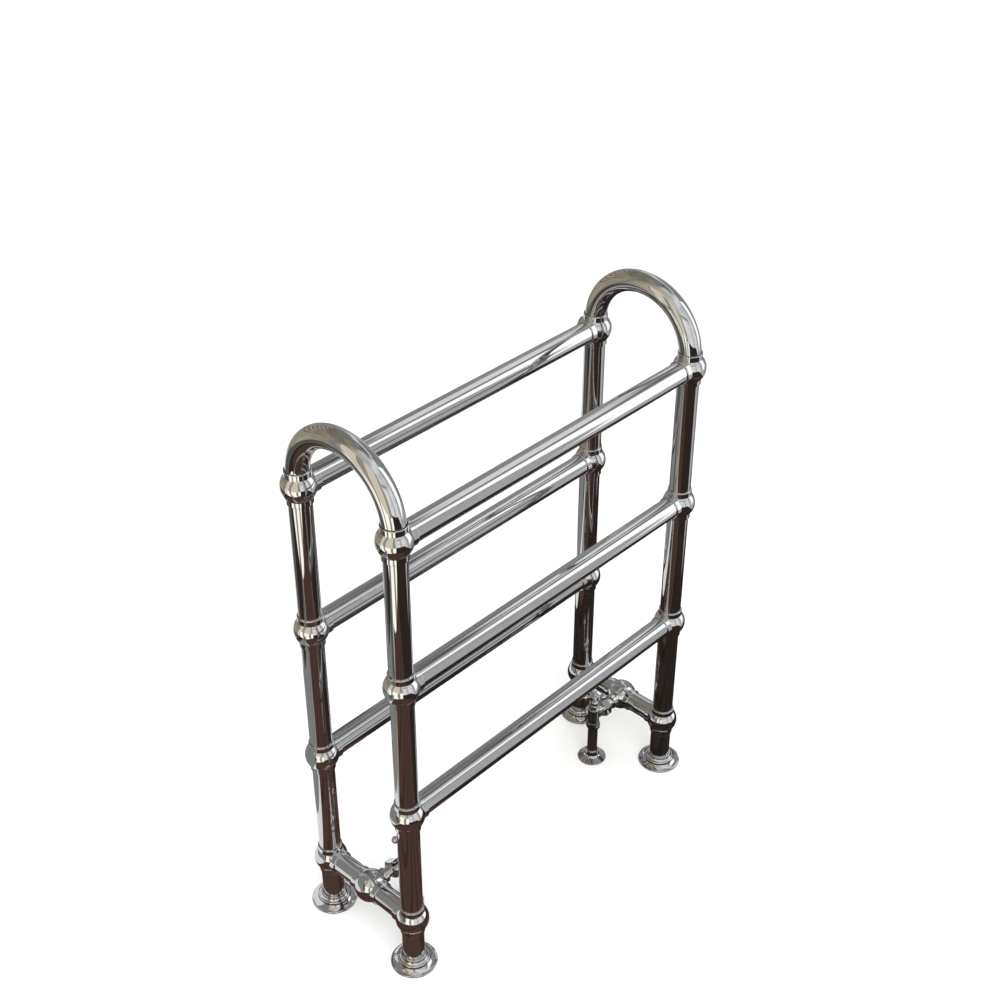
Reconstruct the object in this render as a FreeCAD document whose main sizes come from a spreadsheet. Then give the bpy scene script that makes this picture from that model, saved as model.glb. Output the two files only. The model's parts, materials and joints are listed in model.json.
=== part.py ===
"""Floor-standing towel warmer: ball-jointed chromed brass tube, fed by two angle valves.

Two end frames stand 625 mm apart. Each has a front and a back post, an arch that joins them at the top
and a cross tube with a ball tee near the floor. Six rails join the end frames. Hot water comes up a
pipe at each end, through an angle valve and the tee, and fills every post, rail and arch.

Frame: +Z up, +X along the rails to the right-hand end, +Y to the back. The origin is on the floor,
under the middle of the rails. Millimetres.
"""

import FreeCAD, Part
import Sketcher
import math
import os

# Driving dimensions: alias, value, what it is.
DIMENSIONS = [
    ("post_spacing", 625, "left post axis to right post axis"),
    ("frame_depth", 189, "front post axis to back post axis"),
    ("top_level", 821.5, "axis of the top rails above the floor"),
    ("middle_level", 571, "axis of the middle rails"),
    ("lower_level", 324, "axis of the lower rails"),
    ("base_level", 100, "axis of the cross tubes and of the valve tails"),
    ("tube", 35, "outside diameter of rails, posts and arches"),
    ("wall", 1.5, "tube wall"),
    ("arch_spring", 17.9, "top rail axis to the start of the arch's bend"),
    ("arch_end", 8, "top rail axis to the arch's lower end in its socket"),
    ("arch_bend", 92.5, "bend radius of the arch, on its axis"),
    ("ball", 53, "diameter of a ball joint"),
    ("collar", 39.2, "outside diameter of a ball joint's collar"),
    ("collar_reach", 27, "ball centre to the collar's end face"),
    ("lip", 0.9, "rounding of a collar's end"),
    ("socket_stop", 18, "ball centre to the bottom of a socket"),
    ("tube_end", 18.2, "ball centre to the end of a tube in its socket"),
    ("waterway", 31, "diameter of the water passage in a ball joint"),
    ("braze_gap", 0.05, "gap all round a tube in its socket"),
    ("arch_flare", 0.6, "flare of the socket mouth that an arch bends out of"),
    ("foot", 74, "diameter of a foot flange"),
    ("foot_rim", 3.2, "height of the foot flange's rim"),
    ("foot_hub", 20, "height of the foot flange's hub"),
    ("foot_hub_swell", 0.7, "how much wider the hub is than a ball joint's collar"),
    ("foot_roll", 1, "edge of the flange to where its rolled rim starts"),
    ("foot_bead", 2.6, "edge of the flange to the start of its dome"),
    ("foot_dome", 26, "radius of the flange's hollow dome"),
    ("foot_dome_top", 8.2, "height where the dome meets the step"),
    ("foot_step", 6.2, "hub to the foot of the step"),
    ("foot_step_top", 10.6, "height where the step starts to round over"),
    ("foot_step_round", 2.2, "rounding of the step"),
    ("foot_cove_low", 12.6, "height where the cove under the hub starts"),
    ("foot_cove_top", 16, "height where the cove meets the hub"),
    ("foot_cove", 4.5, "radius of the cove"),
    ("foot_floor", 4, "thickness of the flange under the post's end"),
    ("valve_offset", 78, "post axis to valve axis"),
    ("tail", 18.4, "outside diameter of a valve tail"),
    ("tail_bore", 13, "bore of a valve tail"),
    ("branch", 26, "outside diameter of the tee's branch"),
    ("branch_reach", 31, "tee centre to the end of its branch"),
    ("branch_stop", 20, "tee centre to the bottom of the branch socket"),
    ("union_start", 21, "valve axis to the near face of the union nut"),
    ("union_length", 14, "length of the union nut"),
    ("union_flats", 28, "union nut across its flats"),
    ("union_thread", 23.6, "thread under the union nut"),
    ("union_seat", 28, "valve axis to the seat of the union"),
    ("tail_flange", 3, "thickness of the tail's flange in the union nut"),
    ("shell", 21, "outside diameter of the valve body"),
    ("shell_ring", 22.6, "outside diameter of the ring round the body's top"),
    ("shell_top", 17.6, "valve axis crossing to the body's top face"),
    ("shell_foot", -14, "axis crossing to the shoulder over the pipe nut"),
    ("chamber", 16.4, "diameter of the chamber in the valve body"),
    ("seat_level", -7, "axis crossing to the valve seat"),
    ("seat_hole", 10, "diameter of the hole through the seat"),
    ("shell_ring_height", 2.8, "height of the ring round the body's top"),
    ("shell_chamfer", 0.6, "chamfer of the body's edges and of its ring"),
    ("pipe_end_foot", -24.5, "axis crossing to the foot of the threaded pipe end"),
    ("olive_cone", -23.2, "axis crossing to the narrow end of the olive's cone"),
    ("union_neck", 20, "diameter of the body behind the union thread"),
    ("pipe", 15, "outside diameter of a supply pipe"),
    ("pipe_wall", 0.7, "supply pipe wall"),
    ("pipe_stop", -16, "axis crossing to the top end of the supply pipe"),
    ("pipe_thread", 18, "thread under the pipe nut"),
    ("pipe_nut_flats", 22, "pipe nut across its flats"),
    ("pipe_nut_foot", -28, "axis crossing to the underside of the pipe nut"),
    ("sleeve", 18, "outside diameter of the sleeve round a supply pipe"),
    ("sleeve_bore", 16.2, "bore of that sleeve"),
    ("rose", 52, "diameter of a floor rose"),
    ("rose_rim", 1.6, "height of its rim"),
    ("rose_dome_r", 14.5, "pipe axis to the inner edge of its dome"),
    ("rose_dome_top", 5.6, "height of that edge"),
    ("rose_dome", 7, "radius of its hollow dome"),
    ("rose_hub_foot_r", 11.4, "pipe axis to the foot of its hub"),
    ("rose_hub_foot", 10.5, "height of that foot"),
    ("rose_hub", 21.8, "diameter of its hub"),
    ("rose_top", 18, "height of its hub"),
    ("olive", 17.2, "diameter of an olive"),
    ("olive_foot", -26.9, "axis crossing to the olive's lower end"),
    ("olive_top", -24.6, "axis crossing to its upper end"),
    ("bonnet_flats", 17, "bonnet hexagon across its flats"),
    ("bonnet_hex_top", 25, "axis crossing to the top of the hexagon"),
    ("bonnet_top", 33, "axis crossing to the bonnet's top"),
    ("gland", 13, "outside diameter of the bonnet's neck"),
    ("bonnet_foot", 7.5, "axis crossing to the foot of the bonnet's sleeve"),
    ("screw_top", 17, "axis crossing to the top of the bonnet's female thread"),
    ("seal", 2, "height and width of the spindle seal"),
    ("spindle", 7, "diameter of the spindle in the gland"),
    ("spindle_foot", -2.6, "axis crossing to the spindle's lower end"),
    ("spindle_end", 6, "diameter of the spindle's end in the handle"),
    ("screw_end", 12, "axis crossing to the top of the spindle's screwed part"),
    ("handle_screw", 3, "thread diameter of the handle's screw"),
    ("handle_head", 10, "diameter of that screw's head"),
    ("handle_head_edge", 0.75, "height of the head's edge"),
    ("handle_head_dome", 2, "height of the head's dome"),
    ("screw_part", 10, "diameter of the spindle's screwed part"),
    ("running_gap", 0.05, "gap all round what turns or slides"),
    ("seal_level", 27, "axis crossing to the underside of the spindle seal"),
    ("jumper", 14.4, "diameter of the jumper plate"),
    ("jumper_plate", 1.4, "thickness of the jumper plate"),
    ("jumper_stem", 4, "diameter of the jumper's stem"),
    ("jumper_top", 5, "axis crossing to the top of the stem"),
    ("jumper_pin", 3, "diameter of the pin that holds the washer"),
    ("washer", 2.5, "thickness of the seat washer"),
    ("lift", 0.1, "what the washer stands off its seat when shut"),
    ("handle_level", 43, "axis crossing to the axis of the handle's arms"),
    ("arm_reach", 16, "spindle axis to the centre of an arm's ball end"),
    ("arm_ball", 12.5, "diameter of an arm's ball end"),
    ("arm_neck", 5.2, "diameter of an arm where it meets its ball end"),
    ("arm_root", 7.6, "diameter of an arm at the hub"),
    ("hub", 16.4, "diameter of the handle's hub"),
    ("hub_top", 5.2, "arm axis to the hub's top face"),
    ("hub_shoulder", 3.4, "arm axis to the start of the hub's rounded shoulder"),
    ("hub_waist", 3.6, "arm axis down to the hub's waist"),
    ("hub_collar", 5.6, "arm axis down to the collar under the waist"),
    ("hub_foot", 7.8, "arm axis down to the hub's foot"),
    ("hub_step", 2, "how much narrower the collar is than the hub"),
    ("handle_turn", 45, "angle of the arms to the rails when shut, degrees"),
    ("vent", 16, "thread diameter of the air vent's plug"),
    ("vent_face", 27, "ball centre to the face that the vent plug seats on"),
    ("vent_boss", 22, "diameter of the boss that carries the plug"),
    ("vent_depth", 6, "length of the plug's thread"),
    ("vent_head", 20, "diameter of the plug's head"),
    ("vent_head_height", 2.6, "height of the plug's head"),
    ("bleed_screw", 6, "diameter of the bleed screw"),
    ("bleed_square", 3, "width of the square on the bleed screw"),
]

doc = FreeCAD.newDocument("towel_warmer")
sheet = doc.addObject("Spreadsheet::Sheet", "Dim")
for row, (alias, value, note) in enumerate(DIMENSIONS, start=1):
    sheet.set(f"A{row}", note)
    sheet.set(f"B{row}", str(value))
    sheet.setAlias(f"B{row}", alias)
doc.recompute()

TUBE_R = "Dim.tube / 2"
SOCKET_R = "Dim.tube / 2 + Dim.braze_gap"
COLLAR_R = "Dim.collar / 2"
NECK = "sqrt((Dim.ball / 2)^2 - (Dim.collar / 2)^2)"     # ball centre to where the collar leaves the ball
WATER_R = "Dim.waterway / 2"
OVERRUN = "1"                                            # how far a cut runs past the face it opens
EASE = "0.2"                                             # what a tube's end stands off its stop
ENDS = {"left": "-1", "right": "1"}
SIDES = {"front": "-1", "back": "1"}
LEVELS = ["top", "middle", "lower", "base"]

parts = {}


def size(expression):
    """The value of an expression over the sheet."""
    value = sheet.evalExpression(expression)
    return float(getattr(value, "Value", value))


def plane_of(body, role):
    """One of a body's own origin planes."""
    return next(item for item in body.Origin.OriginFeatures if item.Role == role)


def draw(body, name, corners, plane="XZ_Plane", closed=True):
    """An outline on one of the body's planes, every corner placed from the sheet.

    A corner is (x, y), or (x, y, radius, side) where an arc of that radius leads to the next corner and
    bulges to the left (1) or the right (-1) of the way along.
    """
    sketch = body.newObject("Sketcher::SketchObject", name)
    sketch.AttachmentSupport = [(plane_of(body, plane), "")]
    sketch.MapMode = "FlatFace"
    points = [FreeCAD.Vector(size(corner[0]), size(corner[1]), 0) for corner in corners]
    edges = []
    for number, corner in enumerate(corners if closed else corners[:-1]):
        start, end = points[number], points[(number + 1) % len(points)]
        if len(corner) == 2:
            edges.append(sketch.addGeometry(Part.LineSegment(start, end)))
            continue
        radius, chord = size(corner[2]), end - start
        rise = radius - math.sqrt(max(radius**2 - (chord.Length / 2) ** 2, 0))
        bulge = FreeCAD.Vector(-chord.y, chord.x, 0).normalize() * rise * corner[3]
        edges.append(sketch.addGeometry(Part.Arc(start, (start + end) / 2 + bulge, end)))
    for number, corner in enumerate(corners):
        touching = [
            (edge, spot) for edge in edges for spot in (1, 2)
            if sketch.getPoint(edge, spot).isEqual(points[number], 1e-6)
        ]
        edge, near = touching[0]
        if len(touching) == 2:
            sketch.addConstraint(Sketcher.Constraint("Coincident", edge, near, *touching[1]))
        for kind, axis, expression in (("DistanceX", -2, corner[0]), ("DistanceY", -1, corner[1])):
            if expression == "0":
                sketch.addConstraint(Sketcher.Constraint("PointOnObject", edge, near, axis))
                continue
            place_now = size(expression)
            index = sketch.addConstraint(Sketcher.Constraint(kind, -1, 1, edge, near, place_now))
            sketch.setExpression(f"Constraints[{index}]", expression)
        if len(corner) == 4:
            index = sketch.addConstraint(Sketcher.Constraint("Radius", edges[number], size(corner[2])))
            sketch.setExpression(f"Constraints[{index}]", corner[2])
    return sketch


def new_body(name):
    """An empty body; its name is also its label."""
    body = doc.addObject("PartDesign::Body", name)
    body.Label = name
    return body


def turn(body, name, corners, about="V_Axis", plane="XZ_Plane", cut=False):
    """Turns an outline about one of its sketch's axes, as added metal or as a cut."""
    before = body.Shape.Volume if cut else 0
    sketch = draw(body, name + "_outline", corners, plane)
    feature = body.newObject("PartDesign::Groove" if cut else "PartDesign::Revolution", name)
    feature.Profile = (sketch, [""])
    feature.ReferenceAxis = (sketch, [about])
    feature.Angle = 360
    doc.recompute()
    if cut and not body.Shape.Volume < before - 0.01:
        raise RuntimeError(f"{body.Label}: {name} removed nothing")
    return feature


def flip(corners):
    """The same outline with its two coordinates swapped, for turning about the other axis."""
    return [(c[1], c[0]) if len(c) == 2 else (c[1], c[0], c[2], -c[3]) for c in corners]


def ring(inner, outer, low, high):
    """The outline of a plain round tube or bore, from its two radii and its two ends."""
    return [(inner, low), (outer, low), (outer, high), (inner, high)]


def put(item, x="0", y="0", z="0", axis=(0, 0, 1), degrees=0):
    """Turns an object about an axis through its origin and moves it to its place."""
    item.Placement = FreeCAD.Placement(
        FreeCAD.Vector(size(x), size(y), size(z)), FreeCAD.Rotation(FreeCAD.Vector(*axis), degrees)
    )
    for key, expression in (("x", x), ("y", y), ("z", z)):
        item.setExpression(f".Placement.Base.{key}", expression)
    return item


def keep(item):
    """Marks an object as a finished sub-part, written under its label."""
    parts[item.Label] = item
    return item


def group(name, items):
    """Several separate solids that make one sub-part."""
    compound = doc.addObject("Part::Compound", name)
    compound.Label = name
    compound.Links = items
    return keep(compound)


def straight_tube(name, length):
    """A rail, a post length or a cross tube, along its own Z from its lower end."""
    body = new_body(name)
    turn(body, name + "_wall", ring(f"{TUBE_R} - Dim.wall", TUBE_R, "0", length))
    return body


def milled(name, blank, flats):
    """Leaves a hexagon on the widest part of a turned blank."""
    bar = doc.addObject("Part::Prism", name + "_bar")
    bar.Polygon = 6
    bar.setExpression("Circumradius", f"{flats} / 2 / cos(30 deg)")
    bar.Height = 200
    bar.Placement.Base = FreeCAD.Vector(0, 0, -100)
    piece = doc.addObject("Part::Common", name)
    piece.Label = name
    piece.Base = bar
    piece.Tool = blank
    return piece


def hexagon(name, flats, corners):
    """A hexagonal nut: a turned blank with its chamfers and bore, milled to a hexagon."""
    blank = new_body(name + "_blank")
    turn(blank, name + "_turning", corners)
    return milled(name, blank, flats)


def nut_outline(flats, low, high, bore):
    """A nut blank: both outer corners chamfered at 30 degrees, then the bore's own corners."""
    wide, flat = f"{flats} / 2 / cos(30 deg)", f"{flats} / 2 - 0.3"
    drop = f"({wide} - ({flat})) * tan(30 deg)"
    return [(flat, low), (wide, f"{low} + {drop}"), (wide, f"{high} - {drop}"), (flat, high)] + bore


# ---------------------------------------------------------------- ball joints and tubes

def ball_joint(name, arch=False, branch=False, vent=False):
    """A ball with a collar above and below it and one at the side, along its own +X.

    With arch, the upper socket's mouth is flared to clear the start of the arch's bend. With branch, the
    side opening takes a valve tail instead of a rail. With vent, the ball has a faced and tapped boss.
    """
    body = new_body(name)
    reach, lip = "Dim.collar_reach", "Dim.lip"
    turn(body, "ball", [
        ("0", f"-{reach}"),
        (f"{COLLAR_R} - {lip}", f"-{reach}", lip, -1),
        (COLLAR_R, f"-{reach} + {lip}"),
        (COLLAR_R, f"-{NECK}", "Dim.ball / 2", -1),
        (COLLAR_R, NECK),
        (COLLAR_R, f"{reach} - {lip}", lip, -1),
        (f"{COLLAR_R} - {lip}", reach),
        ("0", reach),
    ])
    side_reach = "Dim.branch_reach" if branch else reach
    side_r = "Dim.branch / 2" if branch else COLLAR_R
    turn(body, "side_collar", [
        ("0", "0"),
        (side_reach, "0"),
        (side_reach, f"{side_r} - {lip}", lip, -1),
        (f"{side_reach} - {lip}", side_r),
        ("0", side_r),
    ], about="H_Axis")
    if vent:
        turn(body, "vent_boss", flip(ring("0", "Dim.vent_boss / 2", "-Dim.vent_face", "0")),
             about="H_Axis", plane="YZ_Plane")
    upper_stop, mouth = "Dim.socket_stop", [(SOCKET_R, f"{reach} + {OVERRUN}")]
    if arch:
        flared = f"{SOCKET_R} + Dim.arch_flare"
        upper_stop = f"Dim.arch_end - {EASE}"
        mouth = [(SOCKET_R, "Dim.arch_spring + 0.1"), (flared, reach), (flared, f"{reach} + {OVERRUN}")]
    turn(body, "post_sockets", [
        ("0", f"-{reach} - {OVERRUN}"),
        (SOCKET_R, f"-{reach} - {OVERRUN}"),
        (SOCKET_R, "-Dim.socket_stop"),
        (WATER_R, "-Dim.socket_stop"),
        (WATER_R, upper_stop),
        (SOCKET_R, upper_stop),
        *mouth,
        ("0", f"{reach} + {OVERRUN}"),
    ], cut=True)
    socket_r = "Dim.tail / 2 + Dim.braze_gap" if branch else SOCKET_R
    stop = "Dim.branch_stop" if branch else "Dim.socket_stop"
    water = "Dim.tail_bore / 2" if branch else WATER_R
    turn(body, "side_socket", [
        ("0", "0"),
        (f"{side_reach} + {OVERRUN}", "0"),
        (f"{side_reach} + {OVERRUN}", socket_r),
        (stop, socket_r),
        (stop, water),
        ("0", water),
    ], about="H_Axis", cut=True)
    if vent:
        turn(body, "vent_tapping", flip(ring(
            "0", "Dim.vent / 2 + Dim.braze_gap", f"-Dim.vent_face - {OVERRUN}", "0")),
            about="H_Axis", plane="YZ_Plane", cut=True)
    return body


def post_place(end, side):
    """The x and y of a post's axis, as expressions."""
    return f"{ENDS[end]} * Dim.post_spacing / 2", f"{SIDES[side]} * Dim.frame_depth / 2"


def tube_length(upper, lower):
    """The length of a post tube between two ball joints, one above the other."""
    return f"Dim.{upper}_level - Dim.{lower}_level - 2 * Dim.tube_end"


def post(end, side):
    """One post: four ball joints, the tubes between them, the stub below and its foot flange."""
    x, y = post_place(end, side)
    where = f"{side}_{end}"
    inward = 0 if end == "left" else 180
    to_tee = 90 if side == "front" else -90
    for level in LEVELS:
        joint = ball_joint(f"ball_joint_{level}_{where}", arch=level == "top",
                           vent=(level, where) == ("top", "back_right"))
        keep(put(joint, x, y, f"Dim.{level}_level", degrees=to_tee if level == "base" else inward))
    lengths = []
    for upper, lower in zip(LEVELS, LEVELS[1:]):
        piece = straight_tube(f"post_tube_{upper}_{where}", tube_length(upper, lower))
        lengths.append(put(piece, x, y, f"Dim.{lower}_level + Dim.tube_end"))
    stub = straight_tube(f"foot_stub_{where}", "Dim.base_level - Dim.tube_end - Dim.foot_floor")
    lengths.append(put(stub, x, y, "Dim.foot_floor"))
    group(f"post_tubes_{where}", lengths)
    keep(put(foot_flange(f"foot_flange_{where}"), x, y))


def foot_flange(name):
    """A turned flange: rolled rim, shallow dome, a step and a tall hub round the stub."""
    body = new_body(name)
    rim_r, hub_r = "Dim.foot / 2", "(Dim.collar / 2 + Dim.foot_hub_swell)"
    turn(body, "flange", [
        ("0", "0"),
        (f"{rim_r} - Dim.foot_roll", "0", "Dim.foot_rim / 2 + 0.1", -1),
        (f"{rim_r} - Dim.foot_roll", "Dim.foot_rim"),
        (f"{rim_r} - Dim.foot_bead", "Dim.foot_rim + 0.2", "Dim.foot_dome", 1),
        (f"{hub_r} + Dim.foot_step", "Dim.foot_dome_top"),
        (f"{hub_r} + Dim.foot_step - 0.6", "Dim.foot_step_top", "Dim.foot_step_round", -1),
        (f"{hub_r} + Dim.foot_step - 3", "Dim.foot_cove_low", "Dim.foot_cove", 1),
        (hub_r, "Dim.foot_cove_top"),
        (hub_r, "Dim.foot_hub - Dim.lip", "Dim.lip", -1),
        (f"{hub_r} - Dim.lip", "Dim.foot_hub"),
        (SOCKET_R, "Dim.foot_hub"),
        (SOCKET_R, "Dim.foot_floor"),
        ("0", "Dim.foot_floor"),
    ])
    return body


def rail(level, side):
    """One horizontal towel rail, between its two ball joints."""
    body = straight_tube(f"rail_{level}_{side}", "Dim.post_spacing - 2 * Dim.tube_end")
    keep(put(body, "-Dim.post_spacing / 2 + Dim.tube_end", post_place("left", side)[1],
             f"Dim.{level}_level", (0, 1, 0), 90))


def arch(end):
    """The bent tube that joins a front and a back post over the top rails."""
    body = new_body(f"arch_{end}")
    leg, bend = "Dim.arch_spring - Dim.arch_end", "Dim.arch_bend"
    over = f"{leg} + {bend}"
    path = draw(body, "arch_axis", [
        ("0", "0"),
        ("0", leg, bend, 1),
        (bend, over),
        (f"Dim.frame_depth - {bend}", over, bend, 1),
        ("Dim.frame_depth", leg),
        ("Dim.frame_depth", "0"),
    ], plane="YZ_Plane", closed=False)
    section = body.newObject("Sketcher::SketchObject", "arch_section")
    section.AttachmentSupport = [(plane_of(body, "XY_Plane"), "")]
    section.MapMode = "FlatFace"
    for radius in (TUBE_R, f"{TUBE_R} - Dim.wall"):
        circle = section.addGeometry(Part.Circle(FreeCAD.Vector(), FreeCAD.Vector(0, 0, 1), size(radius)))
        section.addConstraint(Sketcher.Constraint("Coincident", circle, 3, -1, 1))
        index = section.addConstraint(Sketcher.Constraint("Radius", circle, size(radius)))
        section.setExpression(f"Constraints[{index}]", radius)
    doc.recompute()
    bent = body.newObject("PartDesign::AdditivePipe", "arch_tube")
    bent.Profile = (section, [""])
    bent.Spine = (path, [f"Edge{number}" for number in range(1, 6)])
    x, y = post_place(end, "front")
    keep(put(body, x, y, "Dim.top_level + Dim.arch_end"))


def base(end):
    """The cross tube of one end frame: a ball tee in the middle and a tube to each post."""
    x = f"{ENDS[end]} * Dim.post_spacing / 2"
    tee = ball_joint(f"base_tee_{end}", branch=True)
    level = FreeCAD.Rotation(FreeCAD.Vector(1, 0, 0), 90)
    inward = FreeCAD.Rotation(FreeCAD.Vector(0, 0, 1), 0 if end == "left" else 180)
    put(tee, x, "0", "Dim.base_level")
    tee.Placement.Rotation = inward.multiply(level)
    keep(tee)
    tubes = []
    for side in SIDES:
        piece = straight_tube(f"cross_tube_{side}_{end}", "Dim.frame_depth / 2 - 2 * Dim.tube_end")
        start = f"{SIDES[side]} * Dim.tube_end"
        tubes.append(put(piece, x, start, "Dim.base_level", (1, 0, 0), 90 if side == "front" else -90))
    return tubes


# ---------------------------------------------------------------- valves
# A valve is drawn about the crossing of its two axes: +Z up the spindle, +X to the tee.

SHELL_R = "Dim.shell / 2"
PIPE_R = "Dim.pipe / 2"
THREAD_R = "Dim.union_thread / 2"
STEM_R = "Dim.jumper_stem / 2"
SPINDLE_R = "Dim.spindle / 2"
SCREW_R = "Dim.screw_part / 2"
BONNET_TOP_R = "Dim.gland / 2"
CORNER = "Dim.bonnet_flats / 2 / cos(30 deg)"             # spindle axis to a corner of the bonnet's hexagon


def valve_body(name):
    """The angle body: pipe end below, union end at the side, bonnet opening on top."""
    body = new_body(name)
    ring_r = "Dim.shell_ring / 2"
    thread_end, bevel = "Dim.pipe_thread / 2", "Dim.shell_chamfer"
    turn(body, "upright", [
        ("0", "Dim.pipe_end_foot"),
        (thread_end, "Dim.pipe_end_foot"),
        (thread_end, "Dim.shell_foot"),
        (f"{SHELL_R} - {bevel}", "Dim.shell_foot"),
        (SHELL_R, f"Dim.shell_foot + {bevel}"),
        (SHELL_R, f"Dim.shell_top - Dim.shell_ring_height - {bevel}"),
        (ring_r, "Dim.shell_top - Dim.shell_ring_height"),
        (ring_r, "Dim.shell_top - Dim.lip", "Dim.lip", -1),
        (f"{ring_r} - Dim.lip", "Dim.shell_top"),
        ("0", "Dim.shell_top"),
    ])
    turn(body, "union_end", [
        ("0", "0"),
        ("Dim.union_seat", "0"),
        ("Dim.union_seat", f"{THREAD_R} - {bevel}"),
        (f"Dim.union_seat - {bevel}", THREAD_R),
        (f"Dim.union_start - {bevel}", THREAD_R),
        ("Dim.union_start - 2", "Dim.union_neck / 2"),
        ("0", "Dim.union_neck / 2"),
    ], about="H_Axis")
    pipe_seat = f"({PIPE_R} + Dim.braze_gap)"
    turn(body, "upright_bore", [
        ("0", f"Dim.pipe_end_foot - {OVERRUN}"),
        (f"{pipe_seat} + 0.7", f"Dim.pipe_end_foot - {OVERRUN}"),
        (pipe_seat, "Dim.olive_cone"),
        (pipe_seat, f"Dim.pipe_stop + {EASE}"),
        ("Dim.seat_hole / 2", f"Dim.pipe_stop + {EASE}"),
        ("Dim.seat_hole / 2", "Dim.seat_level"),
        ("Dim.chamber / 2", "Dim.seat_level"),
        ("Dim.chamber / 2", f"Dim.shell_top + {OVERRUN}"),
        ("0", f"Dim.shell_top + {OVERRUN}"),
    ], cut=True)
    turn(body, "union_bore", flip(ring("0", "Dim.tail_bore / 2", "0", f"Dim.union_seat + {OVERRUN}")),
         about="H_Axis", cut=True)
    return body


def valve_bonnet(name):
    """The headwork: a sleeve screwed into the body, a hexagon and the neck that guides the spindle."""
    sleeve_r = "Dim.chamber / 2 - Dim.braze_gap"
    screw_r, spindle_r = f"{SCREW_R} + Dim.running_gap", f"{SPINDLE_R} + Dim.running_gap"
    groove_low, groove_top = "Dim.seal_level - Dim.running_gap", "Dim.seal_level + Dim.seal + Dim.running_gap"
    guide = [
        (screw_r, "Dim.bonnet_foot"),
        (screw_r, "Dim.screw_top"),
        (spindle_r, "Dim.screw_top"),
        (spindle_r, groove_low),
        (f"{SPINDLE_R} + Dim.seal", groove_low),
        (f"{SPINDLE_R} + Dim.seal", groove_top),
        (spindle_r, groove_top),
        (spindle_r, "Dim.bonnet_top"),
    ]
    body = new_body(name + "_turned")
    turn(body, "headwork", [
        (sleeve_r, "Dim.bonnet_foot"),
        (sleeve_r, "Dim.shell_top + Dim.braze_gap"),
        (CORNER, "Dim.shell_top + Dim.braze_gap"),
        (CORNER, "Dim.bonnet_hex_top - Dim.lip"),
        ("Dim.bonnet_flats / 2 - 0.3", "Dim.bonnet_hex_top"),
        (BONNET_TOP_R, "Dim.bonnet_hex_top"),
        (BONNET_TOP_R, "Dim.bonnet_top - Dim.lip", "Dim.lip", -1),
        (f"{BONNET_TOP_R} - Dim.lip", "Dim.bonnet_top"),
    ] + guide[::-1])
    return milled(name, body, "Dim.bonnet_flats")


def valve_spindle(name):
    """The spindle: screwed part below with a socket for the jumper, plain shaft and squared end above."""
    body = new_body(name)
    end_r, end_foot = "Dim.spindle_end / 2", "Dim.handle_level - 6.5"
    turn(body, "shaft", [
        ("0", "Dim.spindle_foot"),
        (SCREW_R, "Dim.spindle_foot"),
        (SCREW_R, "Dim.screw_end"),
        (SPINDLE_R, f"Dim.screw_end + {SCREW_R} - {SPINDLE_R}"),
        (SPINDLE_R, end_foot),
        (end_r, end_foot),
        (end_r, "Dim.handle_level + 2"),
        ("0", "Dim.handle_level + 2"),
    ])
    turn(body, "jumper_socket", ring("0", f"{STEM_R} + Dim.running_gap", "Dim.spindle_foot - 0.4",
                                     f"Dim.jumper_top + {OVERRUN}"), cut=True)
    turn(body, "screw_tapping", ring("0", "Dim.handle_screw / 2 + Dim.braze_gap", "Dim.handle_level - 4.5",
                                     "Dim.handle_level + 3"), cut=True)
    return body


def jumper(name):
    """The plate that the spindle presses down, with its stem above and a pin for the washer below."""
    body = new_body(name)
    pin_foot = "(Dim.seat_level + Dim.lift + 0.5)"
    underside = "(Dim.seat_level + Dim.lift + Dim.washer)"
    turn(body, "plate", [
        ("0", pin_foot),
        ("Dim.jumper_pin / 2", pin_foot),
        ("Dim.jumper_pin / 2", underside),
        ("Dim.jumper / 2", underside),
        ("Dim.jumper / 2", f"{underside} + Dim.jumper_plate"),
        (STEM_R, f"{underside} + Dim.jumper_plate"),
        (STEM_R, "Dim.jumper_top"),
        ("0", "Dim.jumper_top"),
    ])
    return body


def seat_washer(name):
    """The flat rubber washer under the jumper, which shuts the seat."""
    body = new_body(name)
    low = "Dim.seat_level + Dim.lift"
    turn(body, "washer", ring("Dim.jumper_pin / 2 + Dim.running_gap", "Dim.jumper / 2 - 0.4",
                              low, f"{low} + Dim.washer"))
    return body


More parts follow.
